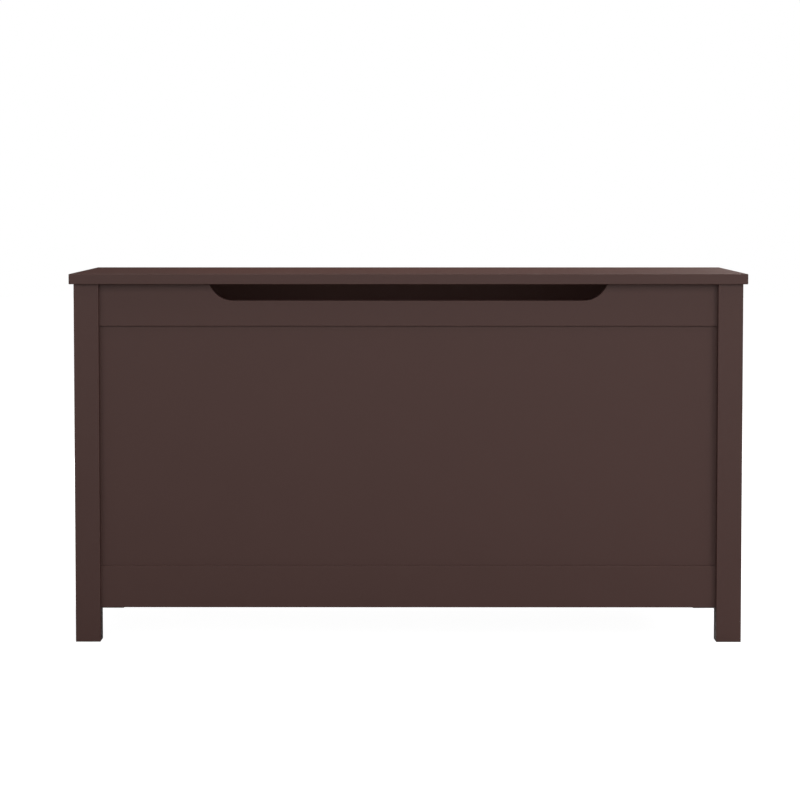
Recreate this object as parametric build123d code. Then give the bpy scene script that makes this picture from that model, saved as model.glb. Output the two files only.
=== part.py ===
from build123d import *
import os

# A wooden toy chest that doubles as a bench. Four square posts are the legs. Between them stand framed
# panels: a top rail, a bottom rail and a thin panel held in grooves. The floor drops in on cleats, and
# the lid hangs on two friction hinges, which hold it wherever it is left.
# Millimetres. +Z is up, +X is to the right seen from the front, and +Y points to the back.
# The origin is on the floor, at the middle of the whole chest's outline.

# Driving dimensions
lid_width = 925.0
lid_depth = 394.0
lid_thickness = 14.0
overhang = 6.0  # of the lid past the posts, on all four sides
overall_height = 505.0
post_side = 34.0
rail_height = 57.5
rail_thickness = 16.0
rail_setback = 9.0  # front and side rails behind the posts' outer faces
ground_gap = 46.5  # floor to the bottom rails
panel_thickness = 9.0
tongue = 5.0  # of a panel's edge inside its groove
groove_depth = 6.0
floor_thickness = 12.0
floor_play = 1.0  # round the floor panel
cleat_side = 16.0
cleat_rise = 1.5  # of the cleats above the rails' lower edges
edge_radius = 0.7  # sanded edges of posts and rails
foot_chamfer = 0.5  # round a post's lower end
lid_edge_radius = 0.8
lid_corner_radius = 1.0

# The hand cut-out in the front top rail: a long slot with round ends, whose centre line is above the rail
cutout_depth = 22.5
cutout_end_radius = 33.6
cutout_straight = 479.4
cutout_crest_radius = 2.0  # where the slot runs out at the rail's upper edge

# Knock-down fittings and dowels that join rails to posts
dowel_radius = 4.0
dowel_reach = 12.0  # into each piece
cam_radius = 7.4
cam_height = 12.3
cam_pocket_play = 0.1
cam_inset = 34.0  # from the rail's end to the cam's centre
bolt_radius = 3.0
bolt_hole_radius = 3.5
bolt_thread_radius = 2.8
bolt_thread_length = 11.0
near_edge, far_edge = 20.0, 40.0  # fixings in long rails, from the rail's outer edge
side_near_edge, side_far_edge = 10.0, 30.0  # dowels in side rails, from the rail's outer edge

# Friction hinges
hinge_x = 310.0  # of each hinge's middle, either side of centre
leaf_width = 70.0
leaf_thickness = 2.0
leaf_edge_radius = 0.4
lid_leaf_reach = 50.0
body_leaf_drop = 40.0
knuckle_radius = 6.5
barrel_radius = 6.0
barrel_length = 36.0
knuckle_gap = 0.5  # between barrel and knuckles, along the pin
pin_radius = 2.95
pin_cap_radius = 4.6
pin_cap_length = 1.2
bush_bore_radius = 3.0
bush_radius = 4.0
barrel_play = 0.5  # between the lid's knuckles and the chest
leaf_play = 0.5  # under the lid leaf, in its notch
turning_play = 0.8  # where a leaf is cut away round the other leaf's knuckle

# Worked out from the driving dimensions
body_width = lid_width - 2 * overhang
body_depth = lid_depth - 2 * overhang
half_body = body_width / 2
post_height = overall_height - lid_thickness
barrel_offset = knuckle_radius + barrel_play  # from the posts' back faces to the pin's axis
outline_depth = overhang + body_depth + barrel_offset + knuckle_radius
front = overhang - outline_depth / 2  # the posts' front faces
back = front + body_depth  # the posts' back faces
pin_y = back + barrel_offset
pin_z = post_height - knuckle_radius

post_inner_x = half_body - post_side
post_inner_front = front + post_side
post_inner_back = back - post_side
top_rail_z = (post_height - rail_height, post_height)
bottom_rail_z = (ground_gap, ground_gap + rail_height)
front_rail_y = (front + rail_setback, front + rail_setback + rail_thickness)
back_rail_y = (back - rail_thickness, back)  # flush, so that the hinges lie flat on it
side_rail_x = (half_body - rail_setback - rail_thickness, half_body - rail_setback)
panel_inset = (rail_thickness - panel_thickness) / 2
cleat_z = (ground_gap + cleat_rise, ground_gap + cleat_rise + cleat_side)
floor_z = (cleat_z[1], cleat_z[1] + floor_thickness)

sides = {"left": -1, "right": 1}


def block(x, y, z):
    """A box between two limits along each axis."""
    limits = (x, y, z)
    size = [abs(b - a) for a, b in limits]
    middle = [(a + b) / 2 for a, b in limits]
    return Pos(*middle) * Box(*size)


def rod(start, direction, length, radius):
    """A cylinder that starts at a point and runs along a direction."""
    low_end = (Align.CENTER, Align.CENTER, Align.MIN)
    return Plane(origin=start, z_dir=direction) * Cylinder(radius, length, align=low_end)


def eased(part, axis, radius=edge_radius):
    """The part with its edges along one axis sanded round."""
    return fillet(part.edges().filter_by(axis), radius)


def save(name, *solids):
    """Writes one node: a single piece, or a group of separate pieces."""
    shape = solids[0] if len(solids) == 1 else Compound(children=list(solids))
    shape.label = name
    export_step(shape, f"parts/{name}.step")


# Fixings. Each is made once here, at its place, and the same shape cuts its hole in the wood.


def wood_screw(point, direction, length, shank, head, with_recess=True):
    """A countersunk screw whose head is flush at the point and which runs along the direction."""
    tip_length = 3.0
    tip_radius = 0.4
    low_end = (Align.CENTER, Align.CENTER, Align.MIN)
    screw = Cylinder(shank, length - tip_length, align=low_end)
    screw += Cone(head, shank, head - shank, align=low_end)
    screw += Pos(0, 0, length - tip_length) * Cone(shank, tip_radius, tip_length, align=low_end)
    if with_recess:
        slot_length, slot_width, slot_depth = 1.3 * head, 0.9, 1.2
        slot = Box(slot_length, slot_width, slot_depth, align=low_end)
        screw -= slot
        screw -= Rot(0, 0, 90) * slot
    return Plane(origin=point, z_dir=direction) * screw


def screw_group(sites, length, shank, head):
    """The screws at a list of (point, direction), and the plain shapes that cut their holes."""
    screws = [wood_screw(p, d, length, shank, head) for p, d in sites]
    holes = [wood_screw(p, d, length, shank, head, with_recess=False) for p, d in sites]
    return screws, holes


def long_rail_sites():
    """Where the front and back rails meet the posts: (side, y, z of the cam, z of the dowel, inward)."""
    sites = []
    for side in sides.values():
        for rail_y, inward in ((front_rail_y, 1), (back_rail_y, -1)):
            middle = sum(rail_y) / 2
            sites.append((side, middle, post_height - near_edge, post_height - far_edge, inward))
            sites.append((side, middle, ground_gap + far_edge, ground_gap + near_edge, inward))
    return sites


def rail_dowels():
    """Beech dowels, half in the rail's end and half in the post."""
    dowels = []
    for side, y, _, z, _ in long_rail_sites():
        start = (side * (post_inner_x - dowel_reach), y, z)
        dowels.append(rod(start, (side, 0, 0), 2 * dowel_reach, dowel_radius))
    heights = [post_height - side_near_edge, post_height - side_far_edge]
    heights += [ground_gap + side_near_edge, ground_gap + side_far_edge]
    for side in sides.values():
        for z in heights:
            for y in (post_inner_front, post_inner_back):
                start = (side * sum(side_rail_x) / 2, y - dowel_reach, z)
                dowels.append(rod(start, (0, 1, 0), 2 * dowel_reach, dowel_radius))
    return dowels


def cam_bolts():
    """Steel bolts screwed into the posts. Each one's head sits in a cam inside the rail."""
    neck_radius, neck_length, head_length = 1.8, 4.0, 3.0
    shank_length = cam_inset - neck_length - head_length / 2
    bolts = []
    for side, y, z, _, _ in long_rail_sites():
        face = side * post_inner_x
        bolt = rod((face, y, z), (side, 0, 0), bolt_thread_length, bolt_thread_radius)
        bolt += rod((face, y, z), (-side, 0, 0), shank_length, bolt_radius)
        neck_start = face - side * shank_length
        bolt += rod((neck_start, y, z), (-side, 0, 0), neck_length, neck_radius)
        head_start = neck_start - side * neck_length
        bolt += rod((head_start, y, z), (-side, 0, 0), head_length, bolt_radius)
        bolts.append(bolt)
    return bolts


def cam_discs():
    """Zinc cams in round pockets in the rails' inner faces. A bolt's head enters from the rail's end."""
    slot_length, slot_width, slot_depth = 9.0, 1.6, 1.6
    entry_radius, entry_past_centre = 3.6, 3.0
    discs = []
    for side, y, z, _, inward in long_rail_sites():
        centre_x = side * (post_inner_x - cam_inset)
        face_y = y + inward * rail_thickness / 2
        disc = rod((centre_x, face_y, z), (0, -inward, 0), cam_height, cam_radius)
        entry_start = (centre_x - side * entry_past_centre, y, z)
        disc -= rod(entry_start, (side, 0, 0), 2 * cam_radius, entry_radius)
        slot_y = (face_y, face_y - inward * slot_depth)
        for long, short in ((slot_length, slot_width), (slot_width, slot_length)):
            slot_x = (centre_x - long / 2, centre_x + long / 2)
            disc -= block(slot_x, slot_y, (z - short / 2, z + short / 2))
        discs.append(disc)
    return discs


def fitting_holes():
    """What the cam fittings and dowels need drilled in the rails and posts."""
    holes = rail_dowels()
    pocket_depth = cam_height + 2 * cam_pocket_play
    for side, y, z, _, inward in long_rail_sites():
        face = side * post_inner_x
        holes.append(rod((face, y, z), (side, 0, 0), bolt_thread_length, bolt_thread_radius))
        holes.append(rod((face, y, z), (-side, 0, 0), cam_inset, bolt_hole_radius))
        pocket_start = (face - side * cam_inset, y + inward * rail_thickness / 2, z)
        pocket_radius = cam_radius + cam_pocket_play
        holes.append(rod(pocket_start, (0, -inward, 0), pocket_depth, pocket_radius))
    return holes


def cleat_screws():
    """Screws through the cleats into the bottom rails, as (point, direction)."""
    z = sum(cleat_z) / 2
    sites = []
    for x in (-360, -120, 120, 360):
        sites.append(((x, front_rail_y[1] + cleat_side, z), (0, -1, 0)))
        sites.append(((x, back_rail_y[0] - cleat_side, z), (0, 1, 0)))
    for side in sides.values():
        for y in (-100, 100):
            sites.append(((side * (side_rail_x[0] - cleat_side), y, z), (side, 0, 0)))
    return screw_group(sites, length=28.0, shank=2.0, head=3.8)


def floor_screws():
    """Screws down through the floor panel into the cleats."""
    z = floor_z[1]
    sites = []
    for x in (-240, 0, 240):
        sites.append(((x, front_rail_y[1] + cleat_side / 2, z), (0, 0, -1)))
        sites.append(((x, back_rail_y[0] - cleat_side / 2, z), (0, 0, -1)))
    for side in sides.values():
        sites.append(((side * (side_rail_x[0] - cleat_side / 2), 0, z), (0, 0, -1)))
    return screw_group(sites, length=24.0, shank=1.75, head=3.4)


# Frame: posts, rails and the panels between them


def panel_z():
    """Lower and upper limits of every framed panel, tongues included."""
    return (bottom_rail_z[1] - tongue, top_rail_z[0] + tongue)


def long_panel_y(rail_y):
    """A front or back panel's faces, centred in its rails' thickness."""
    return (rail_y[0] + panel_inset, rail_y[1] - panel_inset)


def side_panel_x():
    """A side panel's faces, as distances from the chest's middle."""
    return (side_rail_x[0] + panel_inset, side_rail_x[1] - panel_inset)


def post(side, at_front):
    """A square leg, grooved for the two panels that meet it."""
    y = (front, post_inner_front) if at_front else (post_inner_back, back)
    shape = block((side * post_inner_x, side * half_body), y, (0, post_height))
    shape = eased(shape, Axis.Z)
    shape = chamfer(shape.faces().sort_by(Axis.Z)[0].edges(), foot_chamfer)
    low, high = panel_z()
    groove_z = (low - groove_depth + tongue, high + groove_depth - tongue)
    groove_x = (side * post_inner_x, side * (post_inner_x + groove_depth))
    shape -= block(groove_x, long_panel_y(front_rail_y if at_front else back_rail_y), groove_z)
    inner_y = post_inner_front if at_front else post_inner_back
    outward = -1 if at_front else 1
    near_x, far_x = side_panel_x()
    shape -= block((side * near_x, side * far_x), (inner_y, inner_y + outward * groove_depth), groove_z)
    return shape


def groove_in(rail_z, at_top):
    """The groove's height limits in a top or bottom rail."""
    if at_top:
        return (rail_z[0], rail_z[0] + groove_depth)
    return (rail_z[1] - groove_depth, rail_z[1])


def long_rail(rail_y, rail_z, at_top):
    """A front or back rail, grooved along the edge that faces the panel."""
    length = (-post_inner_x, post_inner_x)
    rail = eased(block(length, rail_y, rail_z), Axis.X)
    return rail - long_rail_groove(rail_y, rail_z, at_top)


def long_rail_groove(rail_y, rail_z, at_top):
    """The groove for the panel in a front or back rail."""
    length = (-post_inner_x, post_inner_x)
    return block(length, long_panel_y(rail_y), groove_in(rail_z, at_top))


def side_rail(side, rail_z, at_top):
    """A rail between a front post and a back post."""
    length = (post_inner_front, post_inner_back)
    rail_x = (side * side_rail_x[0], side * side_rail_x[1])
    rail = eased(block(rail_x, length, rail_z), Axis.Y)
    near_x, far_x = side_panel_x()
    return rail - block((side * near_x, side * far_x), length, groove_in(rail_z, at_top))


def hand_cutout():
    """The slot that a hand goes through to lift the lid. It also airs the chest when the lid is shut."""
    centre_z = post_height - cutout_depth + cutout_end_radius
    start_y = front_rail_y[1] + 1
    slot = SlotCenterToCenter(cutout_straight, 2 * cutout_end_radius)
    cutter = extrude(slot, amount=rail_thickness + 2)
    return Plane(origin=(0, start_y, centre_z), x_dir=(1, 0, 0), z_dir=(0, -1, 0)) * cutter


def front_top_rail():
    """The rail with the hand cut-out. The cut-out's edges are sanded round with the rail's own."""
    rail = block((-post_inner_x, post_inner_x), front_rail_y, top_rail_z) - hand_cutout()
    crests = [e for e in rail.edges().filter_by(Axis.Y) if abs(e.center().X) < post_inner_x - 1]
    crests = [e for e in crests if e.center().Z > post_height - 1]
    rail = fillet(crests, cutout_crest_radius)
    outline = [e for face in rail.faces().filter_by(Axis.Y) for e in face.edges()]
    outline = [e for e in outline if abs(e.center().X) < post_inner_x - 0.1]
    return fillet(outline, edge_radius) - long_rail_groove(front_rail_y, top_rail_z, at_top=True)


def hinge_notch(side):
    """Room for a hinge's lid leaf in the back top rail's upper edge."""
    half_width = leaf_width / 2 + 1
    x = (side * hinge_x - half_width, side * hinge_x + half_width)
    depth = leaf_thickness + leaf_play
    return block(x, (back_rail_y[0] - 1, back_rail_y[1] + 1), (post_height - depth, post_height + 1))


def long_panel(rail_y):
    """A front or back panel."""
    reach = post_inner_x + tongue
    return block((-reach, reach), long_panel_y(rail_y), panel_z())


def side_panel(side):
    """A left or right panel."""
    near_x, far_x = side_panel_x()
    y = (post_inner_front - tongue, post_inner_back + tongue)
    return block((side * near_x, side * far_x), y, panel_z())


# Floor: a loose panel notched round the posts, on four cleats


def floor_panel():
    """The chest's floor."""
    x = side_rail_x[0] - floor_play
    y = (front_rail_y[1] + floor_play, back_rail_y[0] - floor_play)
    panel = block((-x, x), y, floor_z)
    for side in sides.values():
        notch_x = (side * (post_inner_x - floor_play), side * half_body)
        panel -= block(notch_x, (front, post_inner_front + floor_play), floor_z)
        panel -= block(notch_x, (post_inner_back - floor_play, back), floor_z)
    return panel


def long_cleat(rail_face, inward):
    """A strip along a front or back bottom rail."""
    y = (rail_face, rail_face + inward * cleat_side)
    return eased(block((-post_inner_x, post_inner_x), y, cleat_z), Axis.X)


def side_cleat(side):
    """A strip along a side's bottom rail, between the long cleats."""
    x = (side * side_rail_x[0], side * (side_rail_x[0] - cleat_side))
    y = (front_rail_y[1] + cleat_side + floor_play, post_inner_back - floor_play)
    return eased(block(x, y, cleat_z), Axis.Y)


# Lid


def lid_panel():
    """One flat board with softened corners and edges."""
    y = (front - overhang, back + overhang)
    board = block((-lid_width / 2, lid_width / 2), y, (post_height, overall_height))
    board = eased(board, Axis.Z, lid_corner_radius)
    flat_faces = board.faces().sort_by(Axis.Z)
    return fillet(flat_faces[0].edges() + flat_faces[-1].edges(), lid_edge_radius)


# Friction hinges. The barrel belongs to the chest's leaf, and the two end knuckles to the lid's leaf.


def ring(x, outer_radius, inner_radius):
    """A tube round the pin's axis between two places along X."""
    start = (min(x), pin_y, pin_z)
    length = abs(x[1] - x[0])
    return rod(start, (1, 0, 0), length, outer_radius) - rod(start, (1, 0, 0), length, inner_radius)


def hinge_limits(side):
    """A hinge's extents along X: the whole leaf, and its middle barrel."""
    middle = side * hinge_x
    leaf = (middle - leaf_width / 2, middle + leaf_width / 2)
    barrel = (middle - barrel_length / 2, middle + barrel_length / 2)
    return leaf, barrel


def hinge_body_leaf(side):
    """Screwed to the back top rail. Its barrel holds the friction bush."""
    leaf_x, barrel_x = hinge_limits(side)
    leaf_y = (back, back + leaf_thickness)
    leaf = block(leaf_x, leaf_y, (pin_z - body_leaf_drop, pin_z - knuckle_radius - turning_play))
    corners = leaf.edges().filter_by(Axis.Y).group_by(Axis.Z)[0]
    leaf = fillet(corners, 4.0)
    leaf = fillet(leaf.faces().sort_by(Axis.Y)[-1].edges(), leaf_edge_radius)
    leaf += block(barrel_x, leaf_y, (pin_z - barrel_radius - 2 * turning_play, pin_z))
    leaf += ring(barrel_x, barrel_radius, bush_radius)
    return leaf - rod((barrel_x[0], pin_y, pin_z), (1, 0, 0), barrel_length, bush_radius)


def hinge_lid_leaf(side):
    """Screwed under the lid. Its two knuckles grip the pin."""
    leaf_x, barrel_x = hinge_limits(side)
    leaf_z = (post_height - leaf_thickness, post_height)
    leaf = block(leaf_x, (pin_y - lid_leaf_reach, pin_y), leaf_z)
    corners = leaf.edges().filter_by(Axis.Z).group_by(Axis.Y)[0]
    leaf = fillet(corners, 4.0)
    leaf = fillet(leaf.faces().sort_by(Axis.Z)[0].edges().group_by(Axis.Y)[0], leaf_edge_radius)
    slot_x = (barrel_x[0] - knuckle_gap, barrel_x[1] + knuckle_gap)
    leaf -= block(slot_x, (pin_y - knuckle_radius - turning_play, pin_y + 1), leaf_z)
    for x in ((leaf_x[0], slot_x[0]), (slot_x[1], leaf_x[1])):
        leaf += rod((x[0], pin_y, pin_z), (1, 0, 0), x[1] - x[0], knuckle_radius)
    return leaf - rod((leaf_x[0], pin_y, pin_z), (1, 0, 0), leaf_width, pin_radius)


def hinge_bush(side):
    """The friction bush, fixed in the barrel. It grips the pin and holds the lid at any angle."""
    _, barrel_x = hinge_limits(side)
    return ring(barrel_x, bush_radius, bush_bore_radius)


def hinge_pin(side):
    """A steel pin with a cap riveted on each end. It turns with the lid."""
    leaf_x, _ = hinge_limits(side)
    pin = rod((leaf_x[0], pin_y, pin_z), (1, 0, 0), leaf_width, pin_radius)
    pin += rod((leaf_x[1], pin_y, pin_z), (1, 0, 0), pin_cap_length, pin_cap_radius)
    pin += rod((leaf_x[0], pin_y, pin_z), (-1, 0, 0), pin_cap_length, pin_cap_radius)
    return pin


def body_leaf_screws(side):
    """Four screws through a body leaf into the back top rail."""
    across, rows = 24.0, (14.0, 30.0)
    y = back + leaf_thickness
    sites = []
    for x in (-across, across):
        for drop in rows:
            sites.append(((side * hinge_x + x, y, pin_z - drop), (0, -1, 0)))
    return screw_group(sites, length=15.0, shank=1.75, head=3.4)


def lid_leaf_screws(side):
    """Four screws up through a lid leaf into the lid."""
    across, rows = 24.0, (26.0, 42.0)
    z = post_height - leaf_thickness
    sites = []
    for x in (-across, across):
        for reach in rows:
            sites.append(((side * hinge_x + x, pin_y - reach, z), (0, 0, 1)))
    return screw_group(sites, length=12.0, shank=1.75, head=3.4)


def cut(part, holes):
    """The part with every hole that touches it cut out."""
    box = part.bounding_box()
    low, high = box.min, box.max
    for hole in holes:
        other = hole.bounding_box()
        meets = other.min.X < high.X and other.max.X > low.X
        meets = meets and other.min.Y < high.Y and other.max.Y > low.Y
        meets = meets and other.min.Z < high.Z and other.max.Z > low.Z
        if meets:
            part -= hole
    return part


def build():
    """Makes every node and writes it."""
    os.makedirs("parts", exist_ok=True)
    fittings = fitting_holes()
    cleat_fixings, cleat_holes = cleat_screws()
    floor_fixings, floor_holes = floor_screws()
    body_fixings, body_holes, lid_fixings, lid_holes = {}, [], {}, []
    for name, side in sides.items():
        body_fixings[name], holes = body_leaf_screws(side)
        body_holes += holes
        lid_fixings[name], holes = lid_leaf_screws(side)
        lid_holes += holes

    for name, side in sides.items():
        save(f"front_{name}_post", cut(post(side, at_front=True), fittings))
        save(f"back_{name}_post", cut(post(side, at_front=False), fittings))
        save(f"{name}_top_rail", cut(side_rail(side, top_rail_z, at_top=True), fittings))
        bottom = side_rail(side, bottom_rail_z, at_top=False)
        save(f"{name}_bottom_rail", cut(bottom, fittings + cleat_holes))
        save(f"{name}_panel", side_panel(side))
        save(f"{name}_floor_cleat", cut(side_cleat(side), cleat_holes + floor_holes))

    save("front_top_rail", cut(front_top_rail(), fittings))
    save("front_bottom_rail", cut(long_rail(front_rail_y, bottom_rail_z, at_top=False), fittings + cleat_holes))
    save("front_panel", long_panel(front_rail_y))
    back_top = long_rail(back_rail_y, top_rail_z, at_top=True)
    for side in sides.values():
        back_top -= hinge_notch(side)
    save("back_top_rail", cut(back_top, fittings + body_holes))
    save("back_bottom_rail", cut(long_rail(back_rail_y, bottom_rail_z, at_top=False), fittings + cleat_holes))
    save("back_panel", long_panel(back_rail_y))

    save("front_floor_cleat", cut(long_cleat(front_rail_y[1], 1), cleat_holes + floor_holes))
    save("back_floor_cleat", cut(long_cleat(back_rail_y[0], -1), cleat_holes + floor_holes))
    save("floor_panel", cut(floor_panel(), floor_holes))
    save("lid_panel", cut(lid_panel(), lid_holes))

    for name, side in sides.items():
        save(f"{name}_hinge_body_leaf", cut(hinge_body_leaf(side), body_holes))
        save(f"{name}_hinge_lid_leaf", cut(hinge_lid_leaf(side), lid_holes))
        save(f"{name}_hinge_friction_bush", hinge_bush(side))
        save(f"{name}_hinge_pin", hinge_pin(side))
        save(f"{name}_hinge_body_screws", *body_fixings[name])
        save(f"{name}_hinge_lid_screws", *lid_fixings[name])

    save("rail_dowels", *rail_dowels())
    save("cam_bolts", *cam_bolts())
    save("cam_discs", *cam_discs())
    save("cleat_screws", *cleat_fixings)
    save("floor_screws", *floor_fixings)


build()
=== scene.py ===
import math

import bmesh
import bpy
import numpy as np
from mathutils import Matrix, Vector


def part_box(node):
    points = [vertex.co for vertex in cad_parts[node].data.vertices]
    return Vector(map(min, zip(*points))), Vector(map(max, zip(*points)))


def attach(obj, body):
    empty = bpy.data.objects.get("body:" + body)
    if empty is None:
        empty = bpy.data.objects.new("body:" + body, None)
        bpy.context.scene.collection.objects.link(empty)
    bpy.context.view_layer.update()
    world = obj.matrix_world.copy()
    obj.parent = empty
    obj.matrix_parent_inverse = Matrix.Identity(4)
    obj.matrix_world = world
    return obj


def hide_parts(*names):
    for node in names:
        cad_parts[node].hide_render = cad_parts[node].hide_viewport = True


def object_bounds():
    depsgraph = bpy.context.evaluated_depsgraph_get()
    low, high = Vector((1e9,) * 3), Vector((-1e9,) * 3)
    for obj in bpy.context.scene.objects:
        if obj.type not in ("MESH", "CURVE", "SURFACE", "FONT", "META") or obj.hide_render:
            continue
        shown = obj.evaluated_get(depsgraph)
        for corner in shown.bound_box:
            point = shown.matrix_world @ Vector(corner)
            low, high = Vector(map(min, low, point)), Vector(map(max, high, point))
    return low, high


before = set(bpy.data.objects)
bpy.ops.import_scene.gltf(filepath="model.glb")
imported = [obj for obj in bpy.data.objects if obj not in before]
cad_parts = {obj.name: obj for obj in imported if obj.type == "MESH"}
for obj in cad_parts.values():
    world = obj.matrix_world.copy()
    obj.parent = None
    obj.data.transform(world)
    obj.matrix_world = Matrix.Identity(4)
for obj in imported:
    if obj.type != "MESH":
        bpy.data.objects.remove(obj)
cad_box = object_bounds()


# ---------------------------------------------------------------- posts
# The four legs: square lengths of solid poplar, planed, sanded on the corners and grooved for the panels.
# They are sprayed with two coats of satin paint, which fills the grain but lets a trace of it show.

MM = 0.001
ALONG_X, ALONG_Y, ALONG_Z = range(3)
PAINT_DARK, PAINT_LIGHT = "#49302b", "#4a312c"
PAINT_THIN = "#523830"  # on a rounded edge, where the sanding between coats leaves less of it


def linear(hex_colour):
    """The linear colour of an sRGB hex value, as the shaders take it."""
    channels = [int(hex_colour[i : i + 2], 16) / 255 for i in (1, 3, 5)]
    return [c / 12.92 if c <= 0.04045 else ((c + 0.055) / 1.055) ** 2.4 for c in channels] + [1.0]


def add_node(owner, kind, inputs=None, **settings):
    """Adds one node to a material or world. An input is given a value, or another node's output to link."""
    node = owner.node_tree.nodes.new(kind)
    for name, value in settings.items():
        setattr(node, name, value)
    for key, value in (inputs or {}).items():
        if isinstance(value, bpy.types.NodeSocket):
            owner.node_tree.links.new(value, node.inputs[key])
        else:
            node.inputs[key].default_value = value
    return node


def new_finish(name):
    """An empty material."""
    finish = bpy.data.materials.new(name)
    finish.use_nodes = True
    finish.node_tree.nodes.clear()
    return finish


def depth_from_edge(finish, place, node):
    """How far a point is from the piece's nearest edge: the middle one of its distances to the six faces."""
    low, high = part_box(node)
    from_middle = add_node(
        finish, "ShaderNodeVectorMath", {0: place, 1: (low + high) / 2}, operation="SUBTRACT"
    )
    from_middle = add_node(finish, "ShaderNodeVectorMath", {0: from_middle.outputs[0]}, operation="ABSOLUTE")
    from_faces = add_node(
        finish,
        "ShaderNodeVectorMath",
        {0: (high - low) / 2, 1: from_middle.outputs[0]},
        operation="SUBTRACT",
    )
    x, y, z = add_node(finish, "ShaderNodeSeparateXYZ", {0: from_faces.outputs[0]}).outputs
    less = add_node(finish, "ShaderNodeMath", {0: x, 1: y}, operation="MINIMUM").outputs[0]
    more = add_node(finish, "ShaderNodeMath", {0: x, 1: y}, operation="MAXIMUM").outputs[0]
    more = add_node(finish, "ShaderNodeMath", {0: more, 1: z}, operation="MINIMUM").outputs[0]
    return add_node(finish, "ShaderNodeMath", {0: less, 1: more}, operation="MAXIMUM").outputs[0]


def satin_paint(node, grain_along=None):
    """Satin alkyd paint, sprayed: an even dark brown with a soft sheen. Close up it has a fine orange peel,
    faint grain under it on solid wood, cloudy differences in sheen, and thinner paint along every edge."""
    cloud_size, chip_size, edge_width = 90 * MM, 7 * MM, 1.6 * MM
    peel_size, grain_width, grain_length, relief_height = 1.4 * MM, 1.1 * MM, 70 * MM, 0.04 * MM
    grain_share = 1.8  # of the relief, where the peel's is 1
    edge_change, peel_change = -0.12, 0.05  # of the roughness
    finish = new_finish("satin_paint_" + node)
    place = add_node(finish, "ShaderNodeTexCoord").outputs["Object"]

    cloud = add_node(finish, "ShaderNodeTexNoise", {"Vector": place, "Scale": 1 / cloud_size, "Detail": 3.0})
    cloud = add_node(
        finish, "ShaderNodeMapRange", {"Value": cloud.outputs["Fac"], "From Min": 0.35, "From Max": 0.65}
    ).outputs["Result"]
    colour = add_node(
        finish, "ShaderNodeMix", {0: cloud, 6: linear(PAINT_DARK), 7: linear(PAINT_LIGHT)}, data_type="RGBA"
    ).outputs[2]

    depth = depth_from_edge(finish, place, node)
    at_edge = add_node(
        finish,
        "ShaderNodeMapRange",
        {"Value": depth, "From Min": 0.0, "From Max": edge_width, "To Min": 1.0, "To Max": 0.0},
        interpolation_type="SMOOTHSTEP",
    ).outputs["Result"]
    chips = add_node(finish, "ShaderNodeTexNoise", {"Vector": place, "Scale": 1 / chip_size, "Detail": 5.0})
    chips = add_node(
        finish,
        "ShaderNodeMapRange",
        {"Value": chips.outputs["Fac"], "From Min": 0.42, "From Max": 0.72, "To Max": 0.55},
    ).outputs["Result"]
    thin = add_node(finish, "ShaderNodeMath", {0: at_edge, 1: chips}, operation="MULTIPLY").outputs[0]
    colour = add_node(
        finish, "ShaderNodeMix", {0: thin, 6: colour, 7: linear(PAINT_THIN)}, data_type="RGBA"
    ).outputs[2]

    peel = add_node(
        finish, "ShaderNodeTexNoise", {"Vector": place, "Scale": 1 / peel_size, "Detail": 1.5}
    ).outputs["Fac"]
    relief = peel
    if grain_along is not None:
        scale = [1 / grain_width] * 3
        scale[grain_along] = 1 / grain_length
        along = add_node(finish, "ShaderNodeMapping", {"Vector": place, "Scale": scale})
        grain = add_node(
            finish,
            "ShaderNodeTexNoise",
            {"Vector": along.outputs[0], "Scale": 1.0, "Detail": 4.0, "Roughness": 0.55, "Distortion": 0.2},
        ).outputs["Fac"]
        relief = add_node(
            finish, "ShaderNodeMath", {0: grain, 1: grain_share, 2: relief}, operation="MULTIPLY_ADD"
        ).outputs[0]
    bump = add_node(finish, "ShaderNodeBump", {"Height": relief, "Strength": 0.8, "Distance": relief_height})

    # Clouds, thin edges and the peel each change the roughness a little
    rough = add_node(
        finish, "ShaderNodeMapRange", {"Value": cloud, "To Min": 0.44, "To Max": 0.47}
    ).outputs["Result"]
    rough = add_node(
        finish, "ShaderNodeMath", {0: thin, 1: edge_change, 2: rough}, operation="MULTIPLY_ADD"
    ).outputs[0]
    rough = add_node(
        finish, "ShaderNodeMath", {0: peel, 1: peel_change, 2: rough}, operation="MULTIPLY_ADD"
    ).outputs[0]
    weak_sheen = 1.36  # where a gloss paint film has 1.5, matched to how little this paint reflects
    shader = add_node(
        finish,
        "ShaderNodeBsdfPrincipled",
        {"Base Color": colour, "Roughness": rough, "Normal": bump.outputs[0], "IOR": weak_sheen},
    )
    add_node(finish, "ShaderNodeOutputMaterial", {"Surface": shader.outputs[0]})
    return finish


def finish_node(node, finish):
    """Gives a CAD node its finish."""
    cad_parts[node].material_slots[0].material = finish


for node in ("front_left_post", "front_right_post", "back_left_post", "back_right_post"):
    finish_node(node, satin_paint(node, ALONG_Z))


# ---------------------------------------------------------------- rails
# Top and bottom rails between the posts: solid poplar 16 mm thick, with rounded long edges.
# The front top rail has the hand cut-out, routed and sanded before it was sprayed.

SIDES = {"front": ALONG_X, "back": ALONG_X, "left": ALONG_Y, "right": ALONG_Y}  # and how their wood runs
for side, grain_along in SIDES.items():
    for height in ("top", "bottom"):
        node = f"{side}_{height}_rail"
        finish_node(node, satin_paint(node, grain_along))


# ---------------------------------------------------------------- panels
# Thin fibreboard panels, cut square and let into the grooves. Fibreboard has no grain, so the paint on
# it shows only its own orange peel.

for side in SIDES:
    finish_node(f"{side}_panel", satin_paint(f"{side}_panel"))


# ---------------------------------------------------------------- dowels
# Beech dowels that line the rails up with the posts: fluted so that air and glue can escape, with their
# ends chamfered, and bare, because they are inside the joints.


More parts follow.
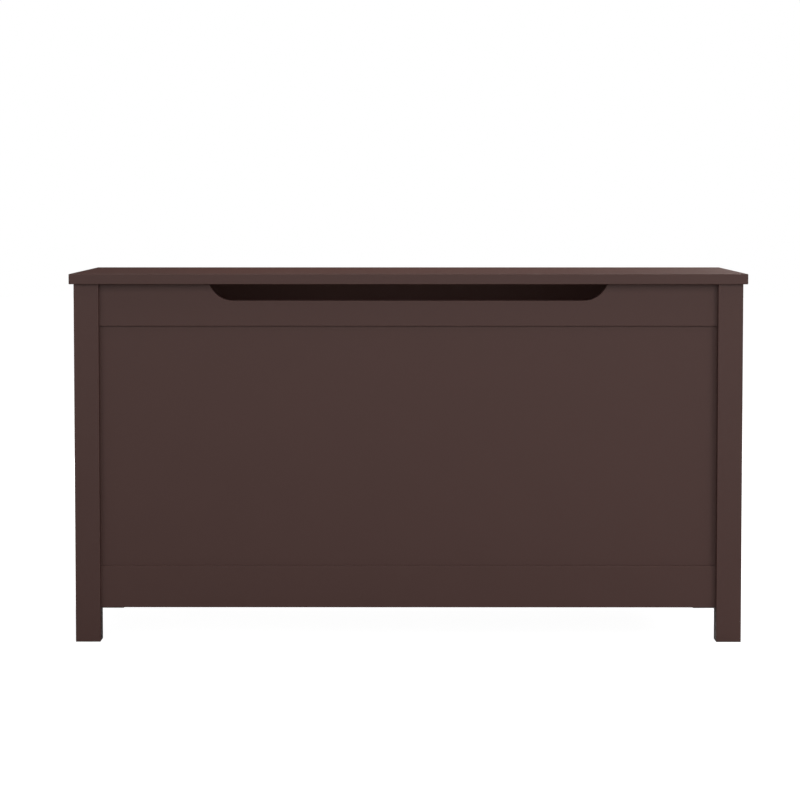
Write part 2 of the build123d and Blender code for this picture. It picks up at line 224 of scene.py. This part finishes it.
def solids_in(node):
    """The separate solids of a group node, each as its lowest and highest corners, in a fixed order."""
    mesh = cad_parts[node].data
    points = np.array([v.co for v in mesh.vertices])
    places = {}
    place_of = [places.setdefault(tuple(np.round(p, 5)), len(places)) for p in points]
    parent = list(range(len(places)))

    def root(i):
        while parent[i] != i:
            parent[i] = parent[parent[i]]
            i = parent[i]
        return i

    for polygon in mesh.polygons:
        first, *others = [root(place_of[v]) for v in polygon.vertices]
        for other in others:
            parent[root(other)] = root(first)
    solids = {}
    for place, point in zip(place_of, points):
        solids.setdefault(root(place), []).append(point)
    boxes = [(np.min(s, axis=0), np.max(s, axis=0)) for s in solids.values()]
    return sorted(boxes, key=lambda box: tuple(np.round(box[0], 4)))


def turned(rings):
    """The skin of a turned piece along +Z without its ends, from rings of (height, radii round the ring)."""
    count = len(rings[0][1])
    angles = np.arange(count) * math.tau / count
    points = []
    for height, radii in rings:
        points += [(r * math.cos(a), r * math.sin(a), height) for r, a in zip(radii, angles)]
    faces = []
    for i in range(len(rings) - 1):
        for j in range(count):
            k = (j + 1) % count
            faces.append((i * count + j, i * count + k, (i + 1) * count + k, (i + 1) * count + j))
    return points, faces


def make_piece(name, parts, finishes, body, slot, *stands_for):
    """One piece from like parts: (points, faces, where it starts, which way it runs, finish number)."""
    shape = bmesh.new()
    for points, faces, start, direction, finish_number in parts:
        turn = Vector((0, 0, 1)).rotation_difference(Vector(direction)).to_matrix()
        corners = [shape.verts.new(turn @ Vector(p) + Vector(start)) for p in points]
        for face in faces:
            shape.faces.new([corners[i] for i in face]).material_index = finish_number
    bmesh.ops.recalc_face_normals(shape, faces=shape.faces)
    mesh = bpy.data.meshes.new(name)
    shape.to_mesh(mesh)
    shape.free()
    mesh.shade_smooth()
    sharp_from = math.radians(38)
    mesh.set_sharp_from_angle(angle=sharp_from)
    for finish in finishes:
        mesh.materials.append(finish)
    piece = bpy.data.objects.new(name, mesh)
    bpy.context.scene.collection.objects.link(piece)
    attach(piece, body)
    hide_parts(*stands_for)
    return piece


def bare_beech(name, grain_along):
    """Bare beech: pale pinkish brown, with short darker flecks along the grain and a dry, matt surface."""
    fleck_width, fleck_length = 0.5 * MM, 4 * MM
    finish = new_finish(name)
    place = add_node(finish, "ShaderNodeTexCoord").outputs["Object"]
    scale = [1 / fleck_width] * 3
    scale[grain_along] = 1 / fleck_length
    along = add_node(finish, "ShaderNodeMapping", {"Vector": place, "Scale": scale}).outputs[0]
    fleck = add_node(
        finish, "ShaderNodeTexNoise", {"Vector": along, "Scale": 1.0, "Detail": 3.0}
    ).outputs["Fac"]
    shade = add_node(
        finish, "ShaderNodeMapRange", {"Value": fleck, "From Min": 0.4, "From Max": 0.62}
    ).outputs["Result"]
    colour = add_node(
        finish, "ShaderNodeMix", {0: shade, 6: linear("#d3ab7e"), 7: linear("#b58658")}, data_type="RGBA"
    ).outputs[2]
    dry = add_node(finish, "ShaderNodeMapRange", {"Value": fleck, "To Min": 0.62, "To Max": 0.8})
    bump = add_node(finish, "ShaderNodeBump", {"Height": fleck, "Strength": 0.7, "Distance": 0.03 * MM})
    shader = add_node(
        finish,
        "ShaderNodeBsdfPrincipled",
        {"Base Color": colour, "Roughness": dry.outputs[0], "Normal": bump.outputs[0]},
    )
    add_node(finish, "ShaderNodeOutputMaterial", {"Surface": shader.outputs[0]})
    return finish


dowel_radius, dowel_chamfer = 4.0 * MM, 1.0 * MM
flute_count, flute_depth, points_per_flute = 16, 0.35 * MM, 4
flute = 0.5 - 0.5 * np.cos(np.arange(flute_count * points_per_flute) * math.tau / points_per_flute)
count = len(flute)
fluted = dowel_radius - flute_depth * flute
end = np.full(count, dowel_radius - dowel_chamfer)
dowels = []
for low, high in solids_in("rail_dowels"):
    along = int(np.argmax(high - low))
    length = (high - low)[along]
    start = (low + high) / 2
    start[along] = low[along]
    rings = [(0, end), (dowel_chamfer, fluted), (length - dowel_chamfer, fluted), (length, end)]
    points, faces = turned(rings)
    faces += [tuple(range(count)), tuple(range(3 * count, 4 * count))]
    dowels.append((points, faces, start, np.eye(3)[along], along))  # the finish goes by the grain
beech = [
    bare_beech("bare_beech_grain_along_x", ALONG_X),
    bare_beech("bare_beech_grain_along_y", ALONG_Y),
]
make_piece("fluted_dowels", dowels, beech, "box", "beech", "rail_dowels")


# ---------------------------------------------------------------- knock-down fittings
# Steel cam bolts screwed into the posts, and die-cast zinc cams in the front and back rails that pull
# them tight. The bolts are rolled and zinc plated, with a cross recess in the head end.


def bright_zinc(name):
    """Bright zinc plate on steel: a pale bluish metal with a patchy haze and fine rolling marks."""
    haze_size, mark_size = 3 * MM, 0.35 * MM
    finish = new_finish(name)
    place = add_node(finish, "ShaderNodeTexCoord").outputs["Object"]
    haze = add_node(finish, "ShaderNodeTexNoise", {"Vector": place, "Scale": 1 / haze_size, "Detail": 3.0})
    colour = add_node(
        finish,
        "ShaderNodeMix",
        {0: haze.outputs["Fac"], 6: linear("#cfd2d3"), 7: linear("#b9b7ae")},
        data_type="RGBA",
    ).outputs[2]
    rough = add_node(
        finish, "ShaderNodeMapRange", {"Value": haze.outputs["Fac"], "To Min": 0.22, "To Max": 0.44}
    )
    marks = add_node(finish, "ShaderNodeTexNoise", {"Vector": place, "Scale": 1 / mark_size, "Detail": 1.0})
    bump = add_node(
        finish, "ShaderNodeBump", {"Height": marks.outputs["Fac"], "Strength": 0.3, "Distance": 0.02 * MM}
    )
    shader = add_node(
        finish,
        "ShaderNodeBsdfPrincipled",
        {"Base Color": colour, "Metallic": 1.0, "Roughness": rough.outputs[0], "Normal": bump.outputs[0]},
    )
    add_node(finish, "ShaderNodeOutputMaterial", {"Surface": shader.outputs[0]})
    return finish


AROUND = 24  # points round a screw or bolt


def thread(start, end, crest, core, pitch, fade):
    """Rings of a right-hand thread from start to end. It grows from the core over fade at each end."""
    rings_per_turn = 7
    half_tooth = 0.3  # of the pitch
    steps = max(2, round((end - start) / pitch * rings_per_turn))
    rings = []
    for i in range(steps + 1):
        height = start + (end - start) * i / steps
        phase = (height / pitch - np.arange(AROUND) / AROUND) % 1.0
        tooth = np.clip(1 - np.abs(phase - 0.5) / half_tooth, 0, 1)
        grown = min(1, (height - start) / fade, (end - height) / fade)
        rings.append((height, core + (crest - core) * tooth * max(grown, 0)))
    return rings


def cross_recess(first_ring, points, faces, height, reach, half_width, sink):
    """Closes a ring of points with a flat face that has a cross recess, which narrows over its sink."""
    quarter_outline = [(reach, 0), (reach, half_width), (half_width, half_width), (half_width, reach)]
    per_quarter, narrowing = len(quarter_outline), 0.62
    corners = 4 * per_quarter
    upper, lower = len(points), len(points) + corners
    for size, level in ((1.0, height), (narrowing, height + sink)):
        for quarter in range(4):
            cos, sin = round(math.cos(quarter * math.pi / 2)), round(math.sin(quarter * math.pi / 2))
            for x, y in quarter_outline:
                points.append((size * (cos * x - sin * y), size * (sin * x + cos * y), level))
    for quarter in range(4):
        first = quarter * AROUND // 4
        rim = [first_ring + (first + i) % AROUND for i in range(AROUND // 4 + 1)]
        recess = [upper + (quarter * per_quarter + i) % corners for i in range(per_quarter + 1)]
        faces.append(tuple(rim + recess[::-1]))
    for i in range(corners):
        j = (i + 1) % corners
        faces.append((upper + i, upper + j, lower + j, lower + i))
    faces.append(tuple(range(lower, lower + corners)))


def ring(height, radius):
    """A plain round ring."""
    return height, np.full(AROUND, radius)


thread_length, thread_crest, thread_core, bolt_pitch = 11 * MM, 2.75 * MM, 2.1 * MM, 1.75 * MM
thread_lead_in, thread_lead_out, thread_fade = 0.5 * MM, 0.3 * MM, 1 * MM
tip_radius, shank_radius, neck_radius, rim_radius = 1.4 * MM, 3 * MM, 1.8 * MM, 2.5 * MM
neck_length, head_length, neck_fillet, rim_length = 4 * MM, 3 * MM, 0.2 * MM, 0.8 * MM
shoulder_length, fillet_length, collar_length = 0.4 * MM, 0.5 * MM, 0.3 * MM
recess_reach, recess_half_width, recess_sink = 1.8 * MM, 0.45 * MM, -1.6 * MM
bolts = []
for low, high in solids_in("cam_bolts"):
    length = high[0] - low[0]
    inward = -1 if low[0] > 0 else 1
    start = (low + high) / 2
    start[0] = low[0] if inward > 0 else high[0]
    head_start = length - head_length
    neck_start = head_start - neck_length
    thread_end = thread_length - thread_lead_out
    rings = [ring(0, tip_radius)]
    rings += thread(thread_lead_in, thread_end, thread_crest, thread_core, bolt_pitch, thread_fade)
    rings += [ring(thread_length, shank_radius), ring(neck_start - shoulder_length, shank_radius)]
    rings += [ring(neck_start, neck_radius + neck_fillet), ring(neck_start + fillet_length, neck_radius)]
    rings += [ring(head_start, neck_radius), ring(head_start + collar_length, shank_radius)]
    rings += [ring(length - rim_length, shank_radius), ring(length, rim_radius)]
    points, faces = turned(rings)
    faces.append(tuple(range(AROUND)))
    last_ring = (len(rings) - 1) * AROUND
    cross_recess(last_ring, points, faces, length, recess_reach, recess_half_width, recess_sink)
    bolts.append((points, faces, start, (inward, 0, 0), 0))
zinc = bright_zinc("bright_zinc_plate")
make_piece("cam_bolts_threaded", bolts, [zinc], "box", "zinc_screws", "cam_bolts")


def cast_zinc(name):
    """Die-cast zinc, tumbled: a dull mid grey metal with a fine, even graininess."""
    grain_size = 0.5 * MM
    finish = new_finish(name)
    place = add_node(finish, "ShaderNodeTexCoord").outputs["Object"]
    grain = add_node(finish, "ShaderNodeTexNoise", {"Vector": place, "Scale": 1 / grain_size, "Detail": 2.0})
    colour = add_node(
        finish,
        "ShaderNodeMix",
        {0: grain.outputs["Fac"], 6: linear("#8f9091"), 7: linear("#a8a8a6")},
        data_type="RGBA",
    ).outputs[2]
    rough = add_node(
        finish, "ShaderNodeMapRange", {"Value": grain.outputs["Fac"], "To Min": 0.42, "To Max": 0.6}
    )
    bump = add_node(
        finish, "ShaderNodeBump", {"Height": grain.outputs["Fac"], "Strength": 0.5, "Distance": 0.03 * MM}
    )
    shader = add_node(
        finish,
        "ShaderNodeBsdfPrincipled",
        {"Base Color": colour, "Metallic": 1.0, "Roughness": rough.outputs[0], "Normal": bump.outputs[0]},
    )
    add_node(finish, "ShaderNodeOutputMaterial", {"Surface": shader.outputs[0]})
    return finish


finish_node("cam_discs", cast_zinc("cast_zinc"))


# ---------------------------------------------------------------- floor and its cleats
# Four softwood strips screwed to the bottom rails carry a loose fibreboard floor, which is screwed down
# to them. Everything is painted before assembly, so the screw heads stay bare zinc.

for side, grain_along in SIDES.items():
    node = f"{side}_floor_cleat"
    finish_node(node, satin_paint(node, grain_along))
finish_node("floor_panel", satin_paint("floor_panel"))


def countersunk_screws(node, direction_of):
    """The parts of a group of chipboard screws, from the solids of the node they stand for."""
    tip, rim, thread_fade = 3 * MM, 0.2 * MM, 1 * MM
    screws = []
    for low, high in solids_in(node):
        along = int(np.argmax(high - low))
        length = (high - low)[along]
        start = (low + high) / 2
        direction = np.array(direction_of(start, along), float)
        start[along] = low[along] if direction[along] > 0 else high[along]
        # A chipboard screw's proportions, from its head's radius
        head = np.delete(high - low, along).max() / 2
        crest = 0.52 * head
        core, pitch = 0.68 * crest, 0.95 * crest
        recess_reach, recess_half_width, recess_sink = 0.62 * head, 0.16 * head, 0.5 * head
        rings = [ring(0, head - rim), ring(rim, head - rim), ring(head - core, core)]
        rings += thread(head, length - tip, crest, core, pitch, thread_fade)
        rings += [ring(length - 0.4 * tip, 0.6 * core), ring(length, 0.1 * core)]
        points, faces = turned(rings)
        faces.append(tuple(range((len(rings) - 1) * AROUND, len(rings) * AROUND)))
        cross_recess(0, points, faces, 0, recess_reach, recess_half_width, recess_sink)
        screws.append((points, faces, start, direction, 0))
    return screws


def outwards(middle, along):
    """Away from the middle of the chest, along the screw."""
    return np.eye(3)[along] * np.sign(middle[along])


for node, direction_of in (("cleat_screws", outwards), ("floor_screws", lambda middle, along: (0, 0, -1))):
    screws = countersunk_screws(node, direction_of)
    make_piece(node + "_threaded", screws, [zinc], "box", "zinc_screws", node)


# ---------------------------------------------------------------- lid
# One flat fibreboard, 14 mm thick, which overhangs the posts by 6 mm all round. Its edges are rounded
# over and sprayed with the faces. It is the seat, too.

finish_node("lid_panel", satin_paint("lid_panel"))


# ---------------------------------------------------------------- hinges
# Two friction hinges: pressed steel leaves with rolled knuckles, powder coated, a turned steel pin, and
# an acetal bush in the middle barrel that grips the pin and holds the lid where it is left.


def powder_coat(name):
    """Dark bronze powder coat: a hard, even skin with a fine pebbled surface."""
    pebble_size, cloud_size = 0.7 * MM, 12 * MM
    finish = new_finish(name)
    place = add_node(finish, "ShaderNodeTexCoord").outputs["Object"]
    cloud = add_node(
        finish, "ShaderNodeTexNoise", {"Vector": place, "Scale": 1 / cloud_size, "Detail": 3.0}
    )
    colour = add_node(
        finish,
        "ShaderNodeMix",
        {0: cloud.outputs["Fac"], 6: linear("#2e2624"), 7: linear("#3a302c")},
        data_type="RGBA",
    ).outputs[2]
    rough = add_node(
        finish, "ShaderNodeMapRange", {"Value": cloud.outputs["Fac"], "To Min": 0.4, "To Max": 0.54}
    )
    pebbles = add_node(finish, "ShaderNodeTexVoronoi", {"Vector": place, "Scale": 1 / pebble_size})
    bump = add_node(
        finish,
        "ShaderNodeBump",
        {"Height": pebbles.outputs["Distance"], "Strength": 0.5, "Distance": 0.03 * MM},
    )
    shader = add_node(
        finish,
        "ShaderNodeBsdfPrincipled",
        {"Base Color": colour, "Roughness": rough.outputs[0], "Normal": bump.outputs[0], "IOR": 1.5},
    )
    add_node(finish, "ShaderNodeOutputMaterial", {"Surface": shader.outputs[0]})
    return finish


def turned_steel(name):
    """Turned mild steel: bright grey, with the lathe's rings round the pin."""
    ring_pitch, smear_size = 0.3 * MM, 4 * MM
    wave_length = math.tau / 20  # of the wave texture at scale 1
    finish = new_finish(name)
    place = add_node(finish, "ShaderNodeTexCoord").outputs["Object"]
    rings_seen = add_node(
        finish,
        "ShaderNodeTexWave",
        {"Vector": place, "Scale": wave_length / ring_pitch, "Distortion": 0.5},
        bands_direction="X",
    ).outputs["Fac"]
    smear = add_node(finish, "ShaderNodeTexNoise", {"Vector": place, "Scale": 1 / smear_size, "Detail": 3.0})
    colour = add_node(
        finish,
        "ShaderNodeMix",
        {0: smear.outputs["Fac"], 6: linear("#b4b4b3"), 7: linear("#9c9a96")},
        data_type="RGBA",
    ).outputs[2]
    rough = add_node(
        finish, "ShaderNodeMapRange", {"Value": smear.outputs["Fac"], "To Min": 0.24, "To Max": 0.4}
    )
    bump = add_node(finish, "ShaderNodeBump", {"Height": rings_seen, "Strength": 0.3, "Distance": 0.01 * MM})
    shader = add_node(
        finish,
        "ShaderNodeBsdfPrincipled",
        {"Base Color": colour, "Metallic": 1.0, "Roughness": rough.outputs[0], "Normal": bump.outputs[0]},
    )
    add_node(finish, "ShaderNodeOutputMaterial", {"Surface": shader.outputs[0]})
    return finish


def acetal(name):
    """Machined acetal: an off-white plastic with a slight sheen and faint tool marks."""
    mark_size = 0.6 * MM
    finish = new_finish(name)
    place = add_node(finish, "ShaderNodeTexCoord").outputs["Object"]
    marks = add_node(finish, "ShaderNodeTexNoise", {"Vector": place, "Scale": 1 / mark_size, "Detail": 2.0})
    colour = add_node(
        finish,
        "ShaderNodeMix",
        {0: marks.outputs["Fac"], 6: linear("#e4e1d8"), 7: linear("#dcd8cd")},
        data_type="RGBA",
    ).outputs[2]
    rough = add_node(
        finish, "ShaderNodeMapRange", {"Value": marks.outputs["Fac"], "To Min": 0.34, "To Max": 0.46}
    )
    bump = add_node(
        finish, "ShaderNodeBump", {"Height": marks.outputs["Fac"], "Strength": 0.4, "Distance": 0.02 * MM}
    )
    shader = add_node(
        finish,
        "ShaderNodeBsdfPrincipled",
        {"Base Color": colour, "Roughness": rough.outputs[0], "Normal": bump.outputs[0], "IOR": 1.48},
    )
    add_node(finish, "ShaderNodeOutputMaterial", {"Surface": shader.outputs[0]})
    return finish


coated, steel, bush = powder_coat("bronze_powder_coat"), turned_steel("turned_steel"), acetal("acetal")
for side in ("left", "right"):
    finish_node(f"{side}_hinge_body_leaf", coated)
    finish_node(f"{side}_hinge_lid_leaf", coated)
    finish_node(f"{side}_hinge_pin", steel)
    finish_node(f"{side}_hinge_friction_bush", bush)
    for body, holder, direction in (("box", "body", (0, -1, 0)), ("lid", "lid", (0, 0, 1))):
        node = f"{side}_hinge_{holder}_screws"
        screws = countersunk_screws(node, lambda middle, along: direction)
        make_piece(node + "_threaded", screws, [zinc], body, "zinc_screws", node)


# ---------------------------------------------------------------- studio floor
# A plain pale floor: dim grey matt boards with a painted glow that only the camera sees, so that they look
# white and the chest's shadow on them stays soft and light. The glow is weakest near the chest, so the floor
# is a little darker there. What they throw back up at the chest is a dim grey.

floor_reach, floor_squares, floor_drop = 14.0, 24, 0.1 * MM  # the drop keeps it just clear of the feet
glow_near, glow_far = 0.6, 1.6  # from the chest's middle: the glow grows from one to the other
shape = bmesh.new()
bmesh.ops.create_grid(shape, x_segments=floor_squares, y_segments=floor_squares, size=floor_reach)
floor_mesh = bpy.data.meshes.new("studio_floor")
shape.to_mesh(floor_mesh)
shape.free()
studio_floor = bpy.data.objects.new("studio_floor", floor_mesh)
bpy.context.scene.collection.objects.link(studio_floor)
boards = new_finish("grey_boards_painted_glow")
place = add_node(boards, "ShaderNodeTexCoord").outputs["Object"]
mottle_size = 1 / 3
mottle = add_node(
    boards, "ShaderNodeTexNoise", {"Vector": place, "Scale": 1 / mottle_size, "Detail": 3.0}
).outputs["Fac"]
pale = add_node(
    boards, "ShaderNodeMix", {0: mottle, 6: linear("#969696"), 7: linear("#9a9a9a")}, data_type="RGBA"
).outputs[2]
matt = add_node(boards, "ShaderNodeBsdfDiffuse", {"Color": pale})
from_middle = add_node(boards, "ShaderNodeVectorMath", {0: place}, operation="LENGTH").outputs["Value"]
glow = add_node(
    boards,
    "ShaderNodeMapRange",
    {"Value": from_middle, "From Min": glow_near, "From Max": glow_far, "To Min": 0.96, "To Max": 1.05},
).outputs["Result"]
# The painted glow is seen only by the camera, and doesn't light the chest
seen = add_node(boards, "ShaderNodeLightPath").outputs["Is Camera Ray"]
painted_glow = add_node(boards, "ShaderNodeMath", {0: seen, 1: glow}, operation="MULTIPLY").outputs[0]
painted_glow = add_node(boards, "ShaderNodeEmission", {"Strength": painted_glow})
lit = add_node(boards, "ShaderNodeAddShader", {0: matt.outputs[0], 1: painted_glow.outputs[0]})
add_node(boards, "ShaderNodeOutputMaterial", {"Surface": lit.outputs[0]})
floor_mesh.materials.append(boards)
studio_floor.location.z = -floor_drop


# ---------------------------------------------------------------- studio light
# Softboxes: a lit wall in front, one overhead, and more light from the right than from the left. Those
# behind put the sheen on the lid, and a weak orange one warms its middle. Two low ones fill the left side
# and the back, and a strip inside stands for light that leaks in. The room is dark, the backdrop white.

scene = bpy.context.scene
scene.view_settings.view_transform = "Standard"
backdrop = bpy.data.worlds.new("studio")
backdrop.use_nodes = True
backdrop.node_tree.nodes.clear()
seen = add_node(backdrop, "ShaderNodeLightPath").outputs["Is Camera Ray"]
room = add_node(backdrop, "ShaderNodeBackground", {"Color": (1, 1, 1, 1), "Strength": 0.004})
white = add_node(backdrop, "ShaderNodeBackground", {"Color": (1, 1, 1, 1), "Strength": 1.0})
both = add_node(backdrop, "ShaderNodeMixShader", {0: seen, 1: room.outputs[0], 2: white.outputs[0]})
add_node(backdrop, "ShaderNodeOutputWorld", {"Surface": both.outputs[0]})
scene.world = backdrop


def softbox(name, place, aim, size, watts, colour="#ffffff"):
    """A large area lamp that faces a point. Its size is its width and height."""
    lamp = bpy.data.lights.new(name, "AREA")
    lamp.shape = "RECTANGLE"
    lamp.size, lamp.size_y = size
    lamp.energy = watts
    lamp.color = linear(colour)[:3]
    holder = bpy.data.objects.new(name, lamp)
    holder.location = place
    holder.rotation_euler = (Vector(aim) - Vector(place)).to_track_quat("-Z", "Y").to_euler()
    holder.visible_camera = False
    scene.collection.objects.link(holder)
    return holder


low, high = map(Vector, cad_box)
middle = (low + high) / 2
softbox("overhead_softbox", place=(0, -0.1, 3.2), aim=(0, -0.1, 0.4), size=(3.0, 3.0), watts=61)
softbox("front_wall", place=(0, -3.6, 1.85), aim=(0, 0, 1.85), size=(6.0, 3.5), watts=103)
softbox("front_right_softbox", place=(2.4, -3.0, 1.5), aim=middle, size=(1.6, 2.2), watts=29)
softbox("right_softbox", place=(3.2, 0.9, 1.9), aim=middle, size=(1.6, 1.6), watts=79)
softbox("back_right_softbox", place=(2.2, 2.6, 2.8), aim=middle, size=(1.6, 1.6), watts=63)
softbox("back_right_low_softbox", (1.9, 3.2, 1.1), aim=middle, size=(2.4, 1.0), watts=8.5, colour="#fff6ee")
softbox("back_warm_softbox", (0.3, 3.6, 1.0), aim=middle, size=(1.8, 0.5), watts=0.7, colour="#ff8442")
softbox("left_fill", place=(-2.6, 0.7, 0.26), aim=(-0.45, 0, 0.26), size=(1.6, 0.4), watts=22)
softbox("back_fill", place=(-0.4, 2.8, 0.26), aim=(0, 0.2, 0.26), size=(2.4, 0.4), watts=26)
behind_rail, below_lid = 6 * MM, 45 * MM
strip_place = Vector((0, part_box("front_top_rail")[1].y + behind_rail, high.z - below_lid))
backwards = Vector((0, 1, 0))
inside_strip = softbox("inside_strip", strip_place, strip_place + backwards, size=(0.7, 0.02), watts=0.25)
inside_strip.visible_glossy = False


# ---------------------------------------------------------------- camera
# A long lens a little above the lid and nearly square to the front, so far away that the chest's depth
# shows only as the thin strip of the lid's top.

from_posts, eye_height, sideways = 4178.1 * MM, 611.3 * MM, 1.6 * MM
tilt_down, turn_left = math.radians(3.812), math.radians(0.177)
lens = bpy.data.cameras.new("camera")
lens.sensor_width, lens.lens = 36.0, 137.96
camera = bpy.data.objects.new("camera", lens)
camera.location = (sideways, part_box("front_left_post")[0].y - from_posts, eye_height)
camera.rotation_euler = (math.radians(90) - tilt_down, 0, turn_left)
scene.collection.objects.link(camera)
scene.camera = camera
